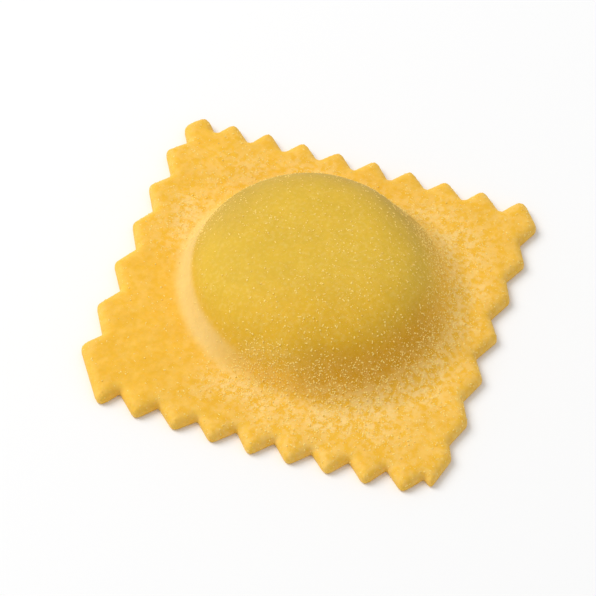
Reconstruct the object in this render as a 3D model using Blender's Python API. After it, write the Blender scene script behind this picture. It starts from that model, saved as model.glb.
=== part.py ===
"""A square raviolo of fresh egg dough, uncooked.

Two sheets of dough lie round a spoonful of filling, pressed together at the rim and cut out with a
fluted wheel, so the rim ends in rows of pointed teeth. It is one closed solid, in metres, lying on
the XY plane with its filled side up. The origin is under the middle of its plan. +Y is the far side.
"""

import math
from collections import namedtuple

import bmesh
import bpy
from mathutils import Matrix, Vector

# Heights.
RIM_HEIGHT = 0.0018
DOME_RISE = 0.0087

# The edge, in section: a low wall, rounded over at the top and just broken at the bottom.
EDGE_WALL = 0.0006
EDGE_ROUNDING = 0.0012
UNDERSIDE_BREAK = 0.0002

# The filled dome. In plan it is a circle drawn out a little along one diagonal. Its foot is a hollow
# fillet, given in shares of the radius.
DOME_CENTRE = Vector((0.0008, 0.0014))
DOME_RADIUS = 0.0169
DOME_STRETCH = 0.033
DOME_STRETCH_ANGLE = math.radians(-45)
DOME_FLATNESS = 4.0
DOME_SHOULDER = 0.55
FILLET_START = 0.93
FILLET_END = 1.06
DOME_SINK = 0.00006
DOME_ROOT = 0.0009

# On the slack side, which faces SLACK_TURN, the dough was pressed down less close to the filling. The
# flank is drawn in there, and the fillet starts higher and runs out further. The foot is tight where the
# cosine of the angle from that side is below the first SLACK_WIDTH, and fully slack above the second.
SLACK_TURN = math.radians(-5)
SLACK_WIDTH = (0.0, 0.85)
SLACK_DRAW_IN = 0.06
SLACK_START = -0.08
SLACK_END = 0.27

# The cut outline. Along a side the teeth may drift off their even places, most in the middle, and
# lean all one way; the line of their tips may bow outwards or slant.
TIP_RADIUS = 0.00080
NOTCH_RADIUS = 0.00030
CORNER_RADIUS = 0.00110
LEAST_RADIUS = 0.00012
MOST_CUT_BACK = 0.45
STRAY = 0.00012
Row = namedtuple("Row", "teeth pitch middle drift skew reach depth bow slant")
RIGHT_ROW = Row(5, 0.00679, 0.00099, 0.00073, 0.00012, 0.02534, 0.00165, -0.00037, 0.003)
FAR_ROW = Row(8, 0.00495, -0.00009, -0.00040, -0.00030, 0.02529, 0.00275, 0.00016, -0.006)
LEFT_ROW = Row(5, 0.00686, 0.00307, 0.00091, 0.00060, 0.02488, 0.00205, 0.00048, -0.001)
NEAR_ROW = Row(8, 0.00499, 0.00222, 0.00057, 0.00014, 0.02461, 0.00275, 0.00090, -0.002)
NEAR_RIGHT_CORNER = ((0.0233, -0.0229), (0.0246, -0.0181))
FAR_RIGHT_CORNER = ((0.0252, 0.0214), (0.0221, 0.0255))
FAR_LEFT_CORNER = ((-0.0218, 0.0254), (-0.0242, 0.0227))
NEAR_LEFT_CORNER = ((-0.0250, -0.0166), (-0.0198, -0.0247))
FULL_EDGE = 0.0032

# Fineness of the mesh.
POINTS_PER_CORNER = 4
EDGE_STEPS = 4
DOME_STEPS = 14
DOME_TURN_STEPS = 72
DOME_CROWDING = 0.8

# Finish.
SMOOTH_ANGLE = math.radians(40)
DOUGH_COLOUR = (0.90, 0.50, 0.08, 1.0)
DOUGH_ROUGHNESS = 0.6

Corner = namedtuple("Corner", "place radius is_tip")


def row_corners(row, seed):
    """Notches and tips along one side, as (along, outwards, is_tip), from its low end to its high end."""
    half_length = row.teeth * row.pitch / 2
    corners = []
    for step in range(2 * row.teeth + 1):
        is_tip = step % 2 == 1
        offset = step * row.pitch / 2 - half_length
        middleness = 1 - (offset / half_length) ** 2
        along = row.middle + offset + row.drift * middleness + STRAY * math.sin(2.7 * step + seed)
        outwards = row.reach + row.bow * middleness + row.slant * offset + STRAY * math.sin(4.1 * step + seed)
        if is_tip:
            along += row.skew
        else:
            outwards -= row.depth
        corners.append((along, outwards, is_tip))
    return corners


def outline_corners():
    """Every corner of the cut outline, anticlockwise seen from above, starting on the right."""
    def toothed(row, seed, place):
        corners = [(place(along, outwards), is_tip) for along, outwards, is_tip in row_corners(row, seed)]
        return [Corner(Vector(at), TIP_RADIUS if tip else NOTCH_RADIUS, tip) for at, tip in corners]

    def blunt(ends):
        return [Corner(Vector(end), CORNER_RADIUS, True) for end in ends]

    right = toothed(RIGHT_ROW, 0.4, lambda along, outwards: (outwards, along))
    far = toothed(FAR_ROW, 1.9, lambda along, outwards: (along, outwards))
    left = toothed(LEFT_ROW, 3.1, lambda along, outwards: (-outwards, along))
    near = toothed(NEAR_ROW, 4.6, lambda along, outwards: (along, -outwards))
    return (
        right
        + blunt(FAR_RIGHT_CORNER)
        + far[::-1]
        + blunt(FAR_LEFT_CORNER)
        + left[::-1]
        + blunt(NEAR_LEFT_CORNER)
        + near
        + blunt(NEAR_RIGHT_CORNER)
    )


def neighbours(items):
    """Each item of a closed ring with the ones before and after it."""
    return zip(items[-1:] + items[:-1], items, items[1:] + items[:1])


def mitred(before, at, after, inset):
    """The corner moved inwards so that both of its edges move by inset, or less beside a short edge."""
    first = (at - before).normalized()
    second = (after - at).normalized()
    first_inward = Vector((-first.y, first.x))
    second_inward = Vector((-second.y, second.x))
    shortness = min((at - before).length, (after - at).length, FULL_EDGE) / FULL_EDGE
    return at + (first_inward + second_inward) * inset * shortness / (1 + first_inward.dot(second_inward))


def rounded(before, at, after, radius):
    """Points on a quadratic curve that rounds off one corner."""
    back = before - at
    onward = after - at
    half_angle = back.angle(onward) / 2
    cut_back = min(radius / math.tan(half_angle), MOST_CUT_BACK * back.length, MOST_CUT_BACK * onward.length)
    start = at + back.normalized() * cut_back
    end = at + onward.normalized() * cut_back
    points = []
    for step in range(POINTS_PER_CORNER):
        t = step / (POINTS_PER_CORNER - 1)
        points.append(start * (1 - t) ** 2 + at * 2 * t * (1 - t) + end * t**2)
    return points


def toothed_ring(corners, inset):
    """The outline moved inwards: its tips grow sharper and its notches rounder."""
    places = [mitred(a.place, b.place, c.place, inset) for a, b, c in neighbours(corners)]
    ring = []
    for (before, at, after), corner in zip(neighbours(places), corners):
        radius = corner.radius - inset / 3 if corner.is_tip else corner.radius + inset
        ring += rounded(before, at, after, max(radius, LEAST_RADIUS))
    return ring


def crown(share):
    """Height of the filled crown at a share of the dome's radius."""
    return DOME_RISE * (1 - share**DOME_FLATNESS) ** DOME_SHOULDER


def crown_slope(share):
    """How fast the crown's height changes with the share."""
    fall = (1 - share**DOME_FLATNESS) ** (DOME_SHOULDER - 1)
    return -DOME_RISE * DOME_SHOULDER * DOME_FLATNESS * share ** (DOME_FLATNESS - 1) * fall


def slackness(turn):
    """How slack the dome's foot is in one direction, from 0 to 1."""
    tight, slack = SLACK_WIDTH
    t = min(max((math.cos(turn - SLACK_TURN) - tight) / (slack - tight), 0), 1)
    return t * t * (3 - 2 * t)


def foot_share(turn):
    """The share of the dome's radius at which its foot ends in one direction."""
    slack = slackness(turn)
    return (FILLET_END + SLACK_END * slack) / (1 + SLACK_DRAW_IN * slack)


def dome_height(share, turn):
    """Height of the dome: the crown, run out into the rim by a hollow fillet."""
    slack = slackness(turn)
    drawn_in = share * (1 + SLACK_DRAW_IN * slack)
    start = FILLET_START + SLACK_START * slack
    if drawn_in <= start:
        return crown(drawn_in)
    run = FILLET_END + SLACK_END * slack - start
    t = min((drawn_in - start) / run, 1)
    return (1 - t) ** 2 * ((1 + 2 * t) * crown(start) + t * run * crown_slope(start))


def plate_rings():
    """Rings up the toothed edge of the pressed dough, from the underside over the rounding to the top."""
    corners = outline_corners()
    rings = [(toothed_ring(corners, UNDERSIDE_BREAK), 0), (toothed_ring(corners, 0), UNDERSIDE_BREAK)]
    for step in range(EDGE_STEPS + 1):
        turn = math.pi / 2 * step / EDGE_STEPS
        inset = EDGE_ROUNDING * (1 - math.cos(turn))
        rings.append((toothed_ring(corners, inset), EDGE_WALL + (RIM_HEIGHT - EDGE_WALL) * math.sin(turn)))
    return rings


def plate_mesh():
    """The flat of the dough: its toothed edge skinned ring by ring, closed above and below."""
    shape = bmesh.new()
    rings = [[shape.verts.new((*point, height)) for point in ring] for ring, height in plate_rings()]
    for lower, upper in zip(rings, rings[1:]):
        for i in range(len(lower)):
            following = (i + 1) % len(lower)
            shape.faces.new((lower[i], lower[following], upper[following], upper[i]))
    shape.faces.new(rings[-1])
    shape.faces.new(reversed(rings[0]))
    mesh = bpy.data.meshes.new("dough")
    shape.to_mesh(mesh)
    shape.free()
    mesh.shade_smooth()
    mesh.set_sharp_from_angle(angle=SMOOTH_ANGLE)
    return mesh


def dome_ring(spread):
    """A ring round the dome, at a part of the way from its top to its foot."""
    ring = []
    for step in range(DOME_TURN_STEPS):
        turn = math.tau * step / DOME_TURN_STEPS
        share = foot_share(turn) * spread
        along = DOME_RADIUS * share * math.cos(turn - DOME_STRETCH_ANGLE) * (1 + DOME_STRETCH)
        across = DOME_RADIUS * share * math.sin(turn - DOME_STRETCH_ANGLE) * (1 - DOME_STRETCH)
        place = DOME_CENTRE + Matrix.Rotation(DOME_STRETCH_ANGLE, 2) @ Vector((along, across))
        ring.append((*place, RIM_HEIGHT - DOME_SINK + dome_height(share, turn)))
    return ring


def filled_dome():
    """The filled dome as a closed mesh, from its top down to a root inside the plate."""
    shape = bmesh.new()
    spreads = [math.sin(math.pi / 2 * step / DOME_STEPS) ** DOME_CROWDING for step in range(1, DOME_STEPS + 1)]
    rings = [[shape.verts.new(point) for point in dome_ring(spread)] for spread in spreads]
    rings.append([shape.verts.new((vert.co.x, vert.co.y, DOME_ROOT)) for vert in rings[-1]])
    top = shape.verts.new((*DOME_CENTRE, RIM_HEIGHT - DOME_SINK + DOME_RISE))
    for i in range(DOME_TURN_STEPS):
        following = (i + 1) % DOME_TURN_STEPS
        shape.faces.new((top, rings[0][i], rings[0][following]))
        for upper, lower in zip(rings, rings[1:]):
            shape.faces.new((upper[i], lower[i], lower[following], upper[following]))
    shape.faces.new(reversed(rings[-1]))
    mesh = bpy.data.meshes.new("filled_dome")
    shape.to_mesh(mesh)
    shape.free()
    mesh.shade_smooth()
    return bpy.data.objects.new("filled_dome", mesh)


def dough_material():
    material = bpy.data.materials.new("egg_dough")
    material.use_nodes = True
    shader = material.node_tree.nodes["Principled BSDF"]
    shader.inputs["Base Color"].default_value = DOUGH_COLOUR
    shader.inputs["Roughness"].default_value = DOUGH_ROUGHNESS
    shader.inputs["Metallic"].default_value = 0.0
    return material


def new_collection(name):
    collection = bpy.data.collections.new(name)
    bpy.context.scene.collection.children.link(collection)
    return collection


def main():
    for thing in list(bpy.data.objects):
        bpy.data.objects.remove(thing)
    dome = filled_dome()
    dome.hide_render = True
    new_collection("cutters").objects.link(dome)
    dough = bpy.data.objects.new("dough", plate_mesh())
    dough.data.materials.append(dough_material())
    new_collection("raviolo").objects.link(dough)
    joining = dough.modifiers.new("joining", "BOOLEAN")
    joining.operation = "UNION"
    joining.object = dome


main()
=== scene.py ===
"""A square raviolo of fresh egg dough, uncooked and dusted with semolina.

The cut outline is taken from the frame's solid. A flat blank of dough with that outline is raised by
Geometry Nodes into the rounded rim and the filled dome, and the dusting is scattered over it.
"""

import math

import bmesh
import bpy
import numpy as np
from mathutils import Matrix, Vector, geometry


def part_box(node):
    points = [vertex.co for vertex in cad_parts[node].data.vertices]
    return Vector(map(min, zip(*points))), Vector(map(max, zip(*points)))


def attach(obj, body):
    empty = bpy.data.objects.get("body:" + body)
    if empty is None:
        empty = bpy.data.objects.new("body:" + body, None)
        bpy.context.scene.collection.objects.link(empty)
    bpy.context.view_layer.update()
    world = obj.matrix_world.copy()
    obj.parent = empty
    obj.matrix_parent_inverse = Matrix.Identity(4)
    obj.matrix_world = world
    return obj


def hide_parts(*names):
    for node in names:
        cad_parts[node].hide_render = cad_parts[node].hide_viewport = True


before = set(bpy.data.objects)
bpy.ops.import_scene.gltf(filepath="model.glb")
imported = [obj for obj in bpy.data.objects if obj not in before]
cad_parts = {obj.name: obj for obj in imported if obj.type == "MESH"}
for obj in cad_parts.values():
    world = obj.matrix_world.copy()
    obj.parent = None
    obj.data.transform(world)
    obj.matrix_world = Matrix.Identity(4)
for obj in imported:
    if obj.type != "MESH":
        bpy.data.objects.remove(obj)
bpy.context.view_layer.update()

# The solid that is replaced and the body that it rides on.
NODE = "dough"
BODY = "root"

# The solid's own heights and edges, in metres.
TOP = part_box(NODE)[1].z
RIM_HEIGHT = 0.0018
EDGE_WALL = 0.0006
EDGE_ROUNDING = 0.0012
UNDERSIDE_BREAK = 0.0002
UNDERSIDE_TUCK = 0.7 * UNDERSIDE_BREAK

# The filled dome: a circle drawn out along one diagonal, with a flat crown and a hollow foot. The fillet's
# ends are shares of the radius, and the slack values are what they change by on the slack side.
DOME_CENTRE = (0.0008, 0.0014)
DOME_RADIUS = 0.0169
DOME_STRETCH = 0.033
DOME_STRETCH_ANGLE = math.radians(-45)
DOME_RISE = TOP - RIM_HEIGHT
DOME_FLATNESS = 4.0
DOME_SHOULDER = 0.55
FILLET_START = 0.93
FILLET_END = 1.06
SLACK_TURN = math.radians(-5)
SLACK_SIDE = (math.cos(SLACK_TURN), math.sin(SLACK_TURN), 0.0)
SLACK_WIDTH = (0.0, 0.85)
SLACK_DRAW_IN = 0.06
SLACK_START = -0.08
SLACK_END = 0.27

# Fineness of the blank, in metres. The clearances are shares of the length that they go with: how far a
# point has to be from the cut edge, or from the last band, to be kept.
MERGE_DISTANCE = 0.000004
EDGE_SPACING = 0.00022
EDGE_INSETS = (0.00005, 0.00014, 0.00026, 0.00041, 0.00059, 0.0008, 0.00103, 0.0013)
INNER_SPACING = 0.00030
UNDERSIDE_SPACING = 0.0020
BAND_CLEARANCE = 0.97
INNER_CLEARANCE = 0.6
UNDERSIDE_CLEARANCE = 0.5
SAME_PLACE = 1e-9
SHARP_ANGLE = math.radians(55)


# ---------------------------------------------------------------------------------------------
# Node graphs
# ---------------------------------------------------------------------------------------------


def in_use(sockets):
    """The sockets that a node shows for its present settings."""
    return [socket for socket in sockets if socket.enabled]


class Graph:
    """Short ways to add and join nodes, for shader and geometry trees alike."""

    def __init__(self, tree):
        self.tree = tree

    def add(self, kind, **settings):
        node = self.tree.nodes.new(kind)
        for name, value in settings.items():
            setattr(node, name, value)
        return node

    def put(self, socket, value):
        if isinstance(value, bpy.types.NodeSocket):
            self.tree.links.new(value, socket)
        else:
            socket.default_value = value

    def feed(self, node, **inputs):
        """Sets or links a node's inputs by name, with _ for a space."""
        for name, value in inputs.items():
            self.put(node.inputs[name.replace("_", " ")], value)

    def math(self, operation, *values, clamp=False):
        node = self.add("ShaderNodeMath", operation=operation, use_clamp=clamp)
        for socket, value in zip(node.inputs, values):
            self.put(socket, value)
        return node.outputs[0]

    def vector(self, operation, *values):
        node = self.add("ShaderNodeVectorMath", operation=operation)
        for socket, value in zip(node.inputs, values):
            self.put(socket, value)
        return node.outputs["Value" if operation in ("DOT_PRODUCT", "LENGTH") else "Vector"]

    def vector_scale(self, vector, factor):
        node = self.add("ShaderNodeVectorMath", operation="SCALE")
        self.feed(node, Scale=factor)
        self.put(node.inputs[0], vector)
        return node.outputs["Vector"]

    def ramp(self, value, low, high, smooth=True):
        """0 at low and 1 at high, and smooth between them. Low may lie above high."""
        node = self.add("ShaderNodeMapRange", interpolation_type="SMOOTHSTEP" if smooth else "LINEAR")
        rising = low < high
        self.put(node.inputs["Value"], value)
        node.inputs["From Min"].default_value = min(low, high)
        node.inputs["From Max"].default_value = max(low, high)
        node.inputs["To Min"].default_value = 0.0 if rising else 1.0
        node.inputs["To Max"].default_value = 1.0 if rising else 0.0
        return node.outputs["Result"]

    def noise(self, place, size, detail=2.0, seed=0.0):
        """Soft noise round 0.5 whose lumps are about size metres across."""
        node = self.add("ShaderNodeTexNoise", noise_dimensions="4D")
        self.feed(node, Vector=place, W=seed, Scale=1 / size, Detail=detail)
        return node.outputs[0]

    def mix(self, factor, first, second):
        """One colour at factor 0, another at 1."""
        node = self.add("ShaderNodeMix", data_type="RGBA")
        factor_socket, first_socket, second_socket = node.inputs[0], node.inputs[6], node.inputs[7]
        for socket, value in ((factor_socket, factor), (first_socket, first), (second_socket, second)):
            self.put(socket, (*value, 1.0) if isinstance(value, tuple) else value)
        return node.outputs[2]

    def attribute(self, name):
        """A number kept on the mesh's points."""
        if self.tree.type == "SHADER":
            return self.add("ShaderNodeAttribute", attribute_name=name).outputs["Fac"]
        node = self.add("GeometryNodeInputNamedAttribute", data_type="FLOAT")
        self.feed(node, Name=name)
        return node.outputs["Attribute"]

    def store(self, shape, name, value):
        """The shape with a number kept on its points."""
        node = self.add("GeometryNodeStoreNamedAttribute", data_type="FLOAT", domain="POINT")
        self.feed(node, Geometry=shape, Name=name, Value=value)
        return node.outputs[0]

    def random(self, kind, least, most, seed):
        """A random number or vector for each point."""
        node = self.add("FunctionNodeRandomValue", data_type=kind)
        low, high = in_use(node.inputs)[:2]
        self.put(low, least)
        self.put(high, most)
        self.feed(node, Seed=seed)
        return in_use(node.outputs)[0]

    def blur(self, value, steps, weight):
        """A number evened out between neighbouring points, where the weight is above 0."""
        node = self.add("GeometryNodeBlurAttribute", data_type="FLOAT")
        self.feed(node, Iterations=steps, Weight=weight)
        self.put(in_use(node.inputs)[0], value)
        return in_use(node.outputs)[0]


def math_sum(graph, *values):
    """All the values added up."""
    total = values[0]
    for value in values[1:]:
        total = graph.math("ADD", total, value)
    return total


def math_product(graph, *values):
    """All the values multiplied together."""
    total = values[0]
    for value in values[1:]:
        total = graph.math("MULTIPLY", total, value)
    return total


def geometry_tree(name, inputs):
    """A geometry tree with a geometry socket each way and named inputs, as (graph, start, identifiers)."""
    tree = bpy.data.node_groups.new(name, "GeometryNodeTree")
    tree.interface.new_socket("Geometry", in_out="INPUT", socket_type="NodeSocketGeometry")
    identifiers = {}
    for label, value in inputs.items():
        kind = "NodeSocketInt" if isinstance(value, int) else "NodeSocketFloat"
        if isinstance(value, tuple):
            kind = "NodeSocketVector"
        socket = tree.interface.new_socket(label, in_out="INPUT", socket_type=kind)
        identifiers[label] = socket.identifier
    tree.interface.new_socket("Geometry", in_out="OUTPUT", socket_type="NodeSocketGeometry")
    graph = Graph(tree)
    start = graph.add("NodeGroupInput")
    return graph, start, identifiers


def finish_tree(graph, shape, material):
    """Ends a tree: real copies instead of instances, in one material."""
    real = graph.add("GeometryNodeRealizeInstances")
    graph.feed(real, Geometry=shape)
    finished = graph.add("GeometryNodeSetMaterial")
    graph.feed(finished, Geometry=real.outputs[0], Material=material)
    graph.put(graph.add("NodeGroupOutput").inputs[0], finished.outputs[0])


def grown(name, base, graph, identifiers, inputs):
    """The plain mesh that a geometry tree makes of a base mesh, as a new object with no modifier."""
    carrier = bpy.data.objects.new(name + "_carrier", base)
    bpy.context.scene.collection.objects.link(carrier)
    modifier = carrier.modifiers.new(name, "NODES")
    modifier.node_group = graph.tree
    for label, value in inputs.items():
        modifier[identifiers[label]] = value
    bpy.context.view_layer.update()
    evaluated = carrier.evaluated_get(bpy.context.evaluated_depsgraph_get())
    mesh = bpy.data.meshes.new_from_object(evaluated)
    mesh.name = name
    bpy.data.objects.remove(carrier)
    piece = bpy.data.objects.new(name, mesh)
    bpy.context.scene.collection.objects.link(piece)
    return piece


# ---------------------------------------------------------------------------------------------
# The flat blank of dough
# ---------------------------------------------------------------------------------------------


def cut_outline():
    """The toothed outline, read from the top of the solid's wall: an anticlockwise array of points."""
    solid = bmesh.new()
    solid.from_mesh(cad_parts[NODE].data)
    bmesh.ops.remove_doubles(solid, verts=solid.verts, dist=MERGE_DISTANCE)

    def on_wall_top(vert):
        return abs(vert.co.z - EDGE_WALL) < MERGE_DISTANCE * 2

    onward = {}
    for face in solid.faces:
        if min(vert.co.z for vert in face.verts) < EDGE_WALL / 2:
            for corner in face.loops:
                following = corner.link_loop_next.vert
                if on_wall_top(corner.vert) and on_wall_top(following):
                    onward[following] = corner.vert
    at = start = next(iter(onward))
    outline = []
    while at is not start or not outline:
        outline.append(at.co.xy.to_tuple())
        at = onward[at]
    solid.free()
    return np.array(outline)


def evenly_spaced(outline, spacing):
    """The outline with every edge divided into steps of at most spacing."""
    points = []
    for at, following in zip(outline, np.roll(outline, -1, axis=0)):
        steps = max(1, math.ceil(np.linalg.norm(following - at) / spacing))
        points += [at + (following - at) * step / steps for step in range(steps)]
    return np.array(points)


def distance_to(outline, points):
    """Each point's distance to the outline."""
    nearest = np.full(len(points), np.inf)
    for at, following in zip(outline, np.roll(outline, -1, axis=0)):
        edge = following - at
        share = np.clip((points - at) @ edge / (edge @ edge), 0, 1)
        away = points - (at + share[:, None] * edge)
        nearest = np.minimum(nearest, np.linalg.norm(away, axis=1))
    return nearest


def inside(outline, points):
    """Which points lie inside the outline, by counting crossings to the right."""
    within = np.zeros(len(points), bool)
    for at, following in zip(outline, np.roll(outline, -1, axis=0)):
        spans = (at[1] > points[:, 1]) != (following[1] > points[:, 1])
        if at[1] != following[1]:
            crossing = at[0] + (points[:, 1] - at[1]) / (following[1] - at[1]) * (following[0] - at[0])
            within ^= spans & (points[:, 0] < crossing)
    return within


def outline_normals(outline):
    """Inward unit directions at the outline's points."""
    along = np.roll(outline, -1, axis=0) - np.roll(outline, 1, axis=0)
    inward = np.stack([-along[:, 1], along[:, 0]], axis=1)
    return inward / np.linalg.norm(inward, axis=1)[:, None]


def staggered_grid(outline, spacing):
    """A grid of points over the outline's box, every other row set half a step aside."""
    low = outline.min(axis=0)
    high = outline.max(axis=0)
    columns = np.arange(low[0], high[0], spacing)
    rows = []
    for i, y in enumerate(np.arange(low[1], high[1], spacing * math.sqrt(3) / 2)):
        aside = spacing / 2 * (i % 2)
        rows.append(np.stack([columns + aside, np.full(len(columns), y)], axis=1))
    return np.concatenate(rows)


def edge_bands(outline, border):
    """Points in bands that follow the cut edge, close together where the dough rounds over."""
    inward = outline_normals(border)
    bands = []
    for inset in EDGE_INSETS:
        points = border + inward * inset
        kept = inside(outline, points) & (distance_to(outline, points) > inset * BAND_CLEARANCE)
        bands.append(points[kept])
    return np.concatenate(bands)


def triangulated(border, inner):
    """Triangles that fill a border and use every inner point, as (points, faces), facing up."""
    points = [Vector(point) for point in np.concatenate([border, inner])]
    count = len(border)
    edges = [(i, (i + 1) % count) for i in range(count)]
    places, _, faces, *_ = geometry.delaunay_2d_cdt(points, edges, [list(range(count))], 1, SAME_PLACE)
    return np.array([tuple(place) for place in places]), [tuple(face) for face in faces]


def upward(places, faces):
    """The faces turned so that all are anticlockwise seen from above."""
    turned = []
    for a, b, c in faces:
        first = places[b] - places[a]
        second = places[c] - places[a]
        turned.append((a, b, c) if first[0] * second[1] - first[1] * second[0] > 0 else (a, c, b))
    return turned


def blank_mesh():
    """A closed flat sheet of dough: a fine top, a wall, a slightly narrower underside.

    Each point keeps its distance from the cut edge, and 1 if it is on the top or else 0.
    """
    outline = cut_outline()
    border = evenly_spaced(outline, EDGE_SPACING)
    grid = staggered_grid(outline, INNER_SPACING)
    innermost = EDGE_INSETS[-1] + INNER_SPACING * INNER_CLEARANCE
    inner = grid[inside(outline, grid) & (distance_to(outline, grid) > innermost)]
    top, top_faces = triangulated(border, np.concatenate([edge_bands(outline, border), inner]))

    tucked = border + outline_normals(border) * UNDERSIDE_TUCK
    coarse = staggered_grid(outline, UNDERSIDE_SPACING)
    far_enough = distance_to(outline, coarse) > UNDERSIDE_SPACING * UNDERSIDE_CLEARANCE
    under, under_faces = triangulated(tucked, coarse[inside(outline, coarse) & far_enough])

    count = len(border)
    wall_start = len(top)
    under_start = wall_start + count
    places = [(x, y, EDGE_WALL) for x, y in top]
    places += [(x, y, UNDERSIDE_BREAK) for x, y in border]
    places += [(x, y, 0.0) for x, y in under]
    faces = upward(top, top_faces)
    for i in range(count):
        j = (i + 1) % count
        faces.append((i, wall_start + i, wall_start + j, j))
        faces.append((wall_start + i, under_start + i, under_start + j, wall_start + j))
    for a, b, c in upward(under, under_faces):
        faces.append((under_start + a, under_start + c, under_start + b))

    mesh = bpy.data.meshes.new("blank")
    mesh.from_pydata(places, [], faces)
    mesh.validate()
    depth = distance_to(outline, np.array(places)[:, :2])
    depth[:count] = 0
    upper = np.zeros(len(places))
    upper[:wall_start] = 1
    for name, values in (("from_edge", depth), ("is_top", upper)):
        mesh.attributes.new(name, "FLOAT", "POINT").data.foreach_set("value", values)
    return mesh


# ---------------------------------------------------------------------------------------------
# Raising the blank
# ---------------------------------------------------------------------------------------------

# Semolina lies round the dome, hardly any on its bare side and less on its far side.
BARE_SIDE = (-0.866, -0.500, 0.0)
FAR_SIDE = (-0.342, 0.940, 0.0)

# Where the semolina lies. A pair is a smooth step, from nothing at the first value to all at the second:
# of the turn away from a side, of the share of the dome's radius, or of metres from the cut edge.
OFF_BARE_SIDE = (0.95, 0.70)
ON_FAR_SIDE = (0.3, 0.9)
FAR_SIDE_LOSS = 0.55
FOOT_FROM = (0.80, 1.0)
FOOT_TO = (1.62, 1.12)
OFF_TEETH = (0.0006, 0.0042)
DRIFT_WIDTH = 0.0045
DRIFT_STEP = (0.36, 0.62)
LEAST_DRIFT = 0.25
STREWN_WIDTH = 0.006
MOST_STREWN = 0.60
LEAST_STREWN_SIDE = 0.4

# How wide the dough's unevenness is, in metres, and where it and the softening come in.
WANDER_WIDTH = 0.013
RIM_LUMP_WIDTH = 0.010
RIM_RIPPLE_WIDTH = 0.0026
DOME_LUMP_WIDTH = 0.0085
LUMPS_OFF_EDGE = (0.0, 0.0028)
LUMPS_ON_DOME = (1.02, 0.72)
SOFT_OFF_EDGE = (0.00002, 0.0006)

RAISING = {
    "Rim Height": RIM_HEIGHT,
    "Edge Wall": EDGE_WALL,
    "Edge Rounding": EDGE_ROUNDING,
    "Dome Centre": (*DOME_CENTRE, 0.0),
    "Dome Radii": (DOME_RADIUS * (1 + DOME_STRETCH), DOME_RADIUS * (1 - DOME_STRETCH), 1.0),
    "Dome Turn": DOME_STRETCH_ANGLE,
    "Dome Rise": DOME_RISE,
    "Rim Lumps": 0.00016,
    "Rim Ripples": 0.000035,
    "Dome Lumps": 0.00022,
    "Out of Round": 0.03,
    "Softening": 8,
    "Seed": 7,
}


def dome_height(graph, share, slack):
    """The dome's height as a share of its rise: the crown, run out into the rim by a hollow fillet.

    On its slack side the flank is drawn in, and the fillet starts higher and runs out further.
    """
    def blend(start, change):
        return graph.math("MULTIPLY_ADD", slack, change, start)

    def fall(at):
        return graph.math("SUBTRACT", 1.0, graph.math("POWER", at, DOME_FLATNESS))

    drawn_in = graph.math("MULTIPLY", share, blend(1.0, SLACK_DRAW_IN))
    start = blend(FILLET_START, SLACK_START)
    run = graph.math("SUBTRACT", blend(FILLET_END, SLACK_END), start)
    crown = graph.math("POWER", fall(graph.math("MINIMUM", drawn_in, start)), DOME_SHOULDER)
    steepness = math_product(
        graph,
        -DOME_SHOULDER * DOME_FLATNESS,
        graph.math("POWER", start, DOME_FLATNESS - 1),
        graph.math("POWER", fall(start), DOME_SHOULDER - 1),
    )
    t = graph.math("DIVIDE", graph.math("SUBTRACT", drawn_in, start), run, clamp=True)
    left = graph.math("SUBTRACT", 1.0, t)
    settled = graph.math("MULTIPLY", graph.math("MULTIPLY_ADD", t, 2.0, 1.0), crown)
    carried = math_product(graph, t, run, steepness)
    return math_product(graph, left, left, graph.math("ADD", settled, carried))


def dusting(graph, way, share, from_edge, place, seed):
    """How thickly semolina lies, from 0 to 1: most round the dome's foot, least on the bare side."""
    facing = graph.vector("DOT_PRODUCT", graph.vector("NORMALIZE", way), BARE_SIDE)
    floured_side = graph.ramp(facing, *OFF_BARE_SIDE)
    far_facing = graph.vector("DOT_PRODUCT", graph.vector("NORMALIZE", way), FAR_SIDE)
    less_far = graph.math("MULTIPLY_ADD", graph.ramp(far_facing, *ON_FAR_SIDE), -FAR_SIDE_LOSS, 1.0)
    floured_side = graph.math("MULTIPLY", floured_side, less_far)
    foot = graph.math("MULTIPLY", graph.ramp(share, *FOOT_FROM), graph.ramp(share, *FOOT_TO))
    drifts = graph.ramp(graph.noise(place, DRIFT_WIDTH, detail=3.0, seed=seed), *DRIFT_STEP)
    drifts = graph.math("MULTIPLY_ADD", drifts, 1.0 - LEAST_DRIFT, LEAST_DRIFT)
    off_teeth = graph.ramp(from_edge, *OFF_TEETH)
    heaped = math_product(graph, foot, floured_side, off_teeth, drifts)
    strewn = graph.math("MULTIPLY", graph.noise(place, STREWN_WIDTH, seed=seed), MOST_STREWN)
    thinner = graph.math("MULTIPLY_ADD", floured_side, 1.0 - LEAST_STREWN_SIDE, LEAST_STREWN_SIDE)
    return graph.math("ADD", heaped, graph.math("MULTIPLY", strewn, thinner), clamp=True)


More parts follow.
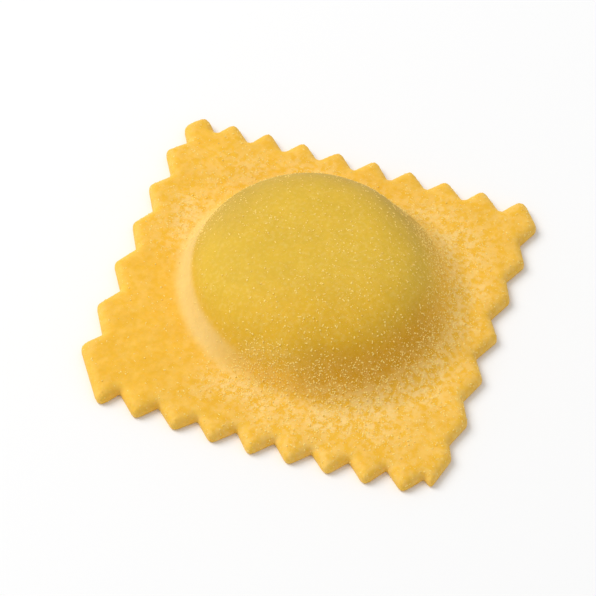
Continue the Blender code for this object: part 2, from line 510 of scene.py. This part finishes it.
def raising_tree(material):
    """The tree that raises a flat blank into a rounded rim and a filled dome, each a little uneven."""
    graph, start, identifiers = geometry_tree("raise dough", RAISING)
    size = start.outputs
    place = graph.add("GeometryNodeInputPosition").outputs[0]
    from_edge = graph.attribute("from_edge")
    is_top = graph.attribute("is_top")
    seed = size["Seed"]

    inwards = graph.math("DIVIDE", from_edge, size["Edge Rounding"], clamp=True)
    short = graph.math("SUBTRACT", 1.0, inwards)
    round_over = graph.math("SQRT", graph.math("SUBTRACT", 1.0, graph.math("MULTIPLY", short, short)))
    rim_rise = graph.math("SUBTRACT", size["Rim Height"], size["Edge Wall"])
    plate = graph.math("MULTIPLY_ADD", round_over, rim_rise, size["Edge Wall"])

    way = graph.vector("MULTIPLY", graph.vector("SUBTRACT", place, size["Dome Centre"]), (1, 1, 0))
    turning = graph.add("ShaderNodeVectorRotate", rotation_type="Z_AXIS", invert=True)
    graph.feed(turning, Vector=way, Angle=size["Dome Turn"])
    true_share = graph.vector("LENGTH", graph.vector("DIVIDE", turning.outputs[0], size["Dome Radii"]))
    wander = graph.math("SUBTRACT", graph.noise(place, WANDER_WIDTH, detail=1.0, seed=seed), 0.5)
    share = math_product(
        graph, true_share, graph.math("MULTIPLY_ADD", wander, size["Out of Round"], 1.0)
    )
    slack_facing = graph.vector("DOT_PRODUCT", graph.vector("NORMALIZE", way), SLACK_SIDE)
    slack = graph.ramp(slack_facing, *SLACK_WIDTH)
    dome = graph.math("MULTIPLY", dome_height(graph, share, slack), size["Dome Rise"])

    def lumps(width, height, where):
        """Hollows and bumps up to about a height, so wide, where a mask is above 0."""
        unevenness = graph.math("SUBTRACT", graph.noise(place, width, seed=seed), 0.5)
        return math_product(graph, unevenness, 2.0, height, where)

    off_edge = graph.ramp(from_edge, *LUMPS_OFF_EDGE)
    on_dome = graph.ramp(share, *LUMPS_ON_DOME)
    height = math_sum(
        graph,
        plate,
        dome,
        lumps(RIM_LUMP_WIDTH, size["Rim Lumps"], off_edge),
        lumps(RIM_RIPPLE_WIDTH, size["Rim Ripples"], off_edge),
        lumps(DOME_LUMP_WIDTH, size["Dome Lumps"], on_dome),
    )
    height = graph.blur(height, size["Softening"], graph.ramp(from_edge, *SOFT_OFF_EDGE))
    across = graph.add("ShaderNodeSeparateXYZ")
    graph.feed(across, Vector=place)
    raised = graph.add("ShaderNodeCombineXYZ")
    graph.feed(raised, X=across.outputs[0], Y=across.outputs[1], Z=height)

    shape = size["Geometry"]
    shape = graph.store(shape, "share", share)
    shape = graph.store(shape, "dusting", dusting(graph, way, share, from_edge, place, seed))
    moved = graph.add("GeometryNodeSetPosition")
    graph.feed(moved, Geometry=shape, Selection=is_top, Position=raised.outputs[0])
    finish_tree(graph, moved.outputs[0], material)
    return graph, identifiers


def make_dough(material):
    """The ravioli itself, in place of the plain solid."""
    graph, identifiers = raising_tree(material)
    dough = grown("egg_pasta", blank_mesh(), graph, identifiers, RAISING)
    dough.data.shade_smooth()
    dough.data.set_sharp_from_angle(angle=SHARP_ANGLE)
    return dough


# ---------------------------------------------------------------------------------------------
# The dusting
# ---------------------------------------------------------------------------------------------


# Grains lie on dough that faces up: nothing at the first value of the normal's height, all at the second.
LYING = (0.15, 0.45)
# The least and most of a grain's half lengths, as shares of its radius.
GRAIN_SHAPES = ((0.6, 0.9, 0.5), (0.9, 1.7, 0.8))


def grain_shape(graph, faceting):
    """A small stone of radius 1: 20 faces for a grain, 8 for a speck."""
    if faceting == "grain":
        ball = graph.add("GeometryNodeMeshIcoSphere")
        graph.feed(ball, Radius=1.0, Subdivisions=1)
    else:
        ball = graph.add("GeometryNodeMeshUVSphere")
        graph.feed(ball, Segments=4, Rings=2, Radius=1.0)
    return ball.outputs[0]


def scattering_tree(name, sizes, faceting, material):
    """The tree that strews grains over the raised dough, turned and sized at random and part sunk in."""
    graph, start, identifiers = geometry_tree(name, sizes)
    size = start.outputs
    upward_facing = graph.add("ShaderNodeSeparateXYZ")
    graph.feed(upward_facing, Vector=graph.add("GeometryNodeInputNormal").outputs[0])
    lying = math_product(
        graph, graph.attribute("is_top"), graph.ramp(upward_facing.outputs[2], *LYING)
    )
    thick = graph.math("POWER", graph.attribute("dusting"), size["Gathering"])
    density = math_product(graph, size["Most per Area"], thick, lying)

    strewn = graph.add("GeometryNodeDistributePointsOnFaces", distribute_method="RANDOM")
    graph.feed(strewn, Mesh=size["Geometry"], Density=density, Seed=size["Seed"])

    radius = graph.random("FLOAT", size["Smallest"], size["Largest"], size["Seed"])
    sunk = graph.vector_scale(strewn.outputs["Normal"], graph.math("MULTIPLY", radius, size["Sink"]))
    placed = graph.add("GeometryNodeSetPosition")
    graph.feed(placed, Geometry=strewn.outputs["Points"], Offset=sunk)

    shape = graph.random("FLOAT_VECTOR", *GRAIN_SHAPES, size["Seed"])
    turn = graph.random("FLOAT_VECTOR", (0, 0, 0), (math.tau,) * 3, size["Seed"])
    grains = graph.add("GeometryNodeInstanceOnPoints")
    graph.feed(
        grains,
        Points=placed.outputs[0],
        Instance=grain_shape(graph, faceting),
        Rotation=turn,
        Scale=graph.vector_scale(shape, radius),
    )
    finish_tree(graph, grains.outputs[0], material)
    return graph, identifiers


# Grains per square metre, how sharply they gather where the dusting is thick, radii in metres, and how far
# a grain is raised or, below 0, sunk in, as a share of its radius.
SEMOLINA = {
    "Most per Area": 7.0e6,
    "Gathering": 1.3,
    "Smallest": 0.00008,
    "Largest": 0.00018,
    "Sink": -0.35,
    "Seed": 11,
}
FLOUR = {
    "Most per Area": 2.2e7,
    "Gathering": 1.2,
    "Smallest": 0.00004,
    "Largest": 0.00008,
    "Sink": -0.4,
    "Seed": 23,
}


def make_dusting(name, sizes, faceting, material, dough):
    """One kind of grain, strewn over the dough as one piece."""
    graph, identifiers = scattering_tree("strew " + name, sizes, faceting, material)
    piece = grown(name, dough.data, graph, identifiers, sizes)
    piece.data.shade_smooth()
    return piece


# ---------------------------------------------------------------------------------------------
# Finishes
# ---------------------------------------------------------------------------------------------

# The sides of the dome that differ in colour: the lit one, with a painted highlight and painted shade, the
# near one, and the shaded one, with painted shade.
LIT_SIDE = (-0.93, -0.36, 0.0)
NEAR_SIDE = (0.35, -0.94, 0.0)
SHADED_SIDE = (0.77, -0.64, 0.0)

GOLD = (0.88, 0.48, 0.034)
OLIVE = (0.73, 0.465, 0.040)
DEEP_YELLOW = (0.77, 0.43, 0.018)
# Painted shade for the far brow of the dome.
PAINTED_SHADE_OLIVE = (0.52, 0.335, 0.048)
# A pale cream for the lit foot: stretched, floury dough with a painted highlight.
CREAM_AND_PAINTED_HIGHLIGHT = (0.88, 0.64, 0.26)
HAZE = (0.86, 0.62, 0.17)
FLOURY = (0.97, 0.65, 0.22)
GRAIN = (0.97, 0.71, 0.20)
PALE_EDGE = (0.95, 0.60, 0.11)
PALE_STREAK = (0.95, 0.56, 0.09)
# Painted shade for the hollow foot on the dome's shaded side.
PAINTED_SHADE_GOLD = (0.66, 0.31, 0.008)


def new_material(name):
    """A material with a plain shader, as (material, graph, shader)."""
    material = bpy.data.materials.new(name)
    material.use_nodes = True
    return material, Graph(material.node_tree), material.node_tree.nodes["Principled BSDF"]


def rim_colour(graph, place, from_edge):
    """Gold, with pale streaks and a paler cut edge."""
    streaks = graph.ramp(graph.noise(place, 0.0016, detail=4.0), 0.45, 0.66)
    rim = graph.mix(graph.math("MULTIPLY", streaks, 0.55), GOLD, PALE_STREAK)
    cut_edge = graph.math("MULTIPLY", graph.ramp(from_edge, 0.0016, 0.0002), 0.4)
    return graph.mix(cut_edge, rim, PALE_EDGE)


def dome_colour(graph, colour, place, way, facing, share, lit):
    """A colour turned greener over the filling, the green running further out on the lit side as painted
    shade: deeper low on the near side, hazy, and darkened by painted shade at the far brow.
    """
    # Painted shade: on the lit side the olive runs further out, darkening the lit flank.
    painted_shade_reach = graph.math("MULTIPLY", graph.ramp(lit, 0.35, 0.8), 0.09)
    over_filling = graph.ramp(graph.math("SUBTRACT", share, painted_shade_reach), 1.0, 0.80)
    colour = graph.mix(over_filling, colour, OLIVE)
    low = graph.ramp(graph.vector("DOT_PRODUCT", way, NEAR_SIDE), 0.002, 0.014)
    colour = graph.mix(math_product(graph, low, over_filling, 0.8), colour, DEEP_YELLOW)
    haze = graph.ramp(graph.noise(place, 0.0005, detail=4.0), 0.48, 0.66)
    colour = graph.mix(math_product(graph, haze, over_filling, 0.28), colour, HAZE)
    # The far brow is darkened with painted shade.
    far_side = graph.ramp(graph.vector("DOT_PRODUCT", facing, FAR_SIDE), -0.1, 0.75)
    brow = math_product(graph, graph.ramp(share, 0.45, 0.88), graph.ramp(share, 1.04, 0.99), far_side)
    return graph.mix(graph.math("MULTIPLY", brow, 0.8), colour, PAINTED_SHADE_OLIVE)


def foot_colour(graph, colour, facing, share, lit):
    """A colour deepened by painted shade in the hollow foot of the shaded side, and made pale at the lit
    foot, partly by stretched, floury dough and partly by a painted highlight.
    """
    # Painted shade: the hollow foot on the shaded side is deepened towards a darker gold.
    shaded_side = graph.ramp(graph.vector("DOT_PRODUCT", facing, SHADED_SIDE), 0.6, 0.95)
    hollow = math_product(graph, graph.ramp(share, 0.74, 0.92), graph.ramp(share, 1.14, 0.96))
    colour = graph.mix(math_product(graph, hollow, shaded_side, 0.75), colour, PAINTED_SHADE_GOLD)
    # The lit foot is paled, partly as stretched, floury dough and partly as a painted highlight.
    foot = math_product(graph, graph.ramp(share, 0.95, 0.99), graph.ramp(share, 1.14, 1.03))
    pale_and_highlight_side = graph.ramp(lit, 0.5, 0.9)
    return graph.mix(math_product(graph, foot, pale_and_highlight_side, 0.65), colour, CREAM_AND_PAINTED_HIGHLIGHT)


def uneven_shade(graph, place):
    """A factor near 1 that leaves the dough blotchy and flecked."""
    blotches = graph.ramp(graph.noise(place, 0.0035, detail=3.0), 0.3, 0.7)
    flecks = graph.ramp(graph.noise(place, 0.0006, detail=2.0), 0.3, 0.7)
    return math_sum(
        graph, 0.93, graph.math("MULTIPLY", blotches, 0.06), graph.math("MULTIPLY", flecks, 0.045)
    )


def dough_material():
    """Fresh egg dough: gold at the rim, greener over the filling, with painted shade and a painted
    highlight round the dome, floury where the dusting is thick.
    """
    material, graph, shader = new_material("egg_dough")
    place = graph.add("ShaderNodeTexCoord").outputs["Object"]
    share = graph.attribute("share")
    dusted = graph.attribute("dusting")
    way = graph.vector("SUBTRACT", place, (*DOME_CENTRE, 0.0))
    facing = graph.vector("NORMALIZE", graph.vector("MULTIPLY", way, (1, 1, 0)))
    lit = graph.vector("DOT_PRODUCT", facing, LIT_SIDE)

    colour = rim_colour(graph, place, graph.attribute("from_edge"))
    colour = dome_colour(graph, colour, place, way, facing, share, lit)
    colour = foot_colour(graph, colour, facing, share, lit)
    film = graph.ramp(graph.noise(place, 0.0007, detail=5.0), 0.40, 0.60)
    settled = graph.math("MULTIPLY_ADD", graph.ramp(share, 0.97, 1.15), 0.82, 0.18)
    colour = graph.mix(math_product(graph, film, dusted, settled), colour, FLOURY)
    graph.put(shader.inputs["Base Color"], graph.vector_scale(colour, uneven_shade(graph, place)))

    gloss = graph.noise(place, 0.002, detail=2.0)
    graph.put(shader.inputs["Roughness"], graph.math("MULTIPLY_ADD", gloss, 0.2, 0.52))
    bump = graph.add("ShaderNodeBump")
    graph.feed(bump, Strength=0.25, Distance=0.00006, Height=graph.noise(place, 0.0005, detail=3.0))
    graph.put(shader.inputs["Normal"], bump.outputs[0])
    graph.feed(shader, Subsurface_Weight=0.12, Subsurface_Scale=0.002, Subsurface_Radius=(1.0, 0.6, 0.25))
    graph.feed(shader, Specular_IOR_Level=0.15)
    return material


def grain_material(name, colour, roughness):
    """Dry semolina, in one colour."""
    material, graph, shader = new_material(name)
    graph.feed(shader, Base_Color=(*colour, 1.0), Roughness=roughness, Specular_IOR_Level=0.3)
    return material


# ---------------------------------------------------------------------------------------------
# Light, floor and camera
# ---------------------------------------------------------------------------------------------

VIEW_TURN = math.radians(14.1)
VIEW_ELEVATION = math.radians(51.7)
VIEW_ROLL = math.radians(4.08)
VIEW_DISTANCE = 0.456
VIEW_AIM = Vector((-0.00127, 0.00056, 0.0))
VIEW_LENS = 213.1
VIEW_SENSOR = 36

KEY_TURN = math.radians(170)
KEY_ELEVATION = math.radians(50)
KEY_DISTANCE = 1.5
KEY_SIZE = 1.0
KEY_POWER = 14.5
SKY_STRENGTH = 0.60

# The floor reaches this far from the middle, and lies just below the dough so that the two never touch.
FLOOR_REACH = 3.0
FLOOR_DROP = 0.00002
FLOOR_WHITE = (0.94, 0.94, 0.94, 1.0)


def from_angles(turn, elevation):
    """The unit direction at a turn from +X, anticlockwise seen from above, and an elevation."""
    flat = math.cos(elevation)
    return Vector((math.cos(turn) * flat, math.sin(turn) * flat, math.sin(elevation)))


def make_camera():
    """The camera, in front and a little to the right, high up, and rolled slightly."""
    data = bpy.data.cameras.new("camera")
    data.lens = VIEW_LENS
    data.sensor_width = VIEW_SENSOR
    camera = bpy.data.objects.new("camera", data)
    away = from_angles(VIEW_TURN - math.pi / 2, VIEW_ELEVATION)
    turned = away.to_track_quat("Z", "Y").to_matrix().to_4x4()
    camera.matrix_world = (
        Matrix.Translation(VIEW_AIM + away * VIEW_DISTANCE) @ turned @ Matrix.Rotation(VIEW_ROLL, 4, "Z")
    )
    bpy.context.scene.collection.objects.link(camera)
    bpy.context.scene.camera = camera


def make_light():
    """One large soft lamp from the back left, and an even white sky."""
    data = bpy.data.lights.new("key", "AREA")
    data.shape = "DISK"
    data.size = KEY_SIZE
    data.energy = KEY_POWER
    key = bpy.data.objects.new("key", data)
    away = from_angles(KEY_TURN, KEY_ELEVATION)
    key.matrix_world = (
        Matrix.Translation(away * KEY_DISTANCE) @ away.to_track_quat("Z", "Y").to_matrix().to_4x4()
    )
    bpy.context.scene.collection.objects.link(key)
    world = bpy.data.worlds.new("studio")
    world.use_nodes = True
    sky = world.node_tree.nodes["Background"]
    sky.inputs["Color"].default_value = (1.0, 1.0, 1.0, 1.0)
    sky.inputs["Strength"].default_value = SKY_STRENGTH
    bpy.context.scene.world = world


def make_floor():
    """A plain white floor."""
    mesh = bpy.data.meshes.new("floor")
    corners = [(-1, -1), (1, -1), (1, 1), (-1, 1)]
    places = [(x * FLOOR_REACH, y * FLOOR_REACH, -FLOOR_DROP) for x, y in corners]
    mesh.from_pydata(places, [], [(0, 1, 2, 3)])
    floor = bpy.data.objects.new("floor", mesh)
    material, graph, shader = new_material("white_floor")
    graph.feed(shader, Base_Color=FLOOR_WHITE, Roughness=0.8, Specular_IOR_Level=0.1)
    mesh.materials.append(material)
    bpy.context.scene.collection.objects.link(floor)


# ---------------------------------------------------------------------------------------------
# The ravioli
# ---------------------------------------------------------------------------------------------

DOUGH = dough_material()
SEMOLINA_FINISH = grain_material("semolina", GRAIN, 0.6)
FLOUR_FINISH = grain_material("fine_semolina", FLOURY, 0.8)

dough = make_dough(DOUGH)
semolina = make_dusting("semolina_grains", SEMOLINA, "grain", SEMOLINA_FINISH, dough)
specks = make_dusting("fine_semolina", FLOUR, "speck", FLOUR_FINISH, dough)

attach(dough, BODY)
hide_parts(NODE)
for dust in (semolina, specks):
    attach(dust, BODY)

make_camera()
make_light()
make_floor()
bpy.context.scene.view_settings.view_transform = "Standard"
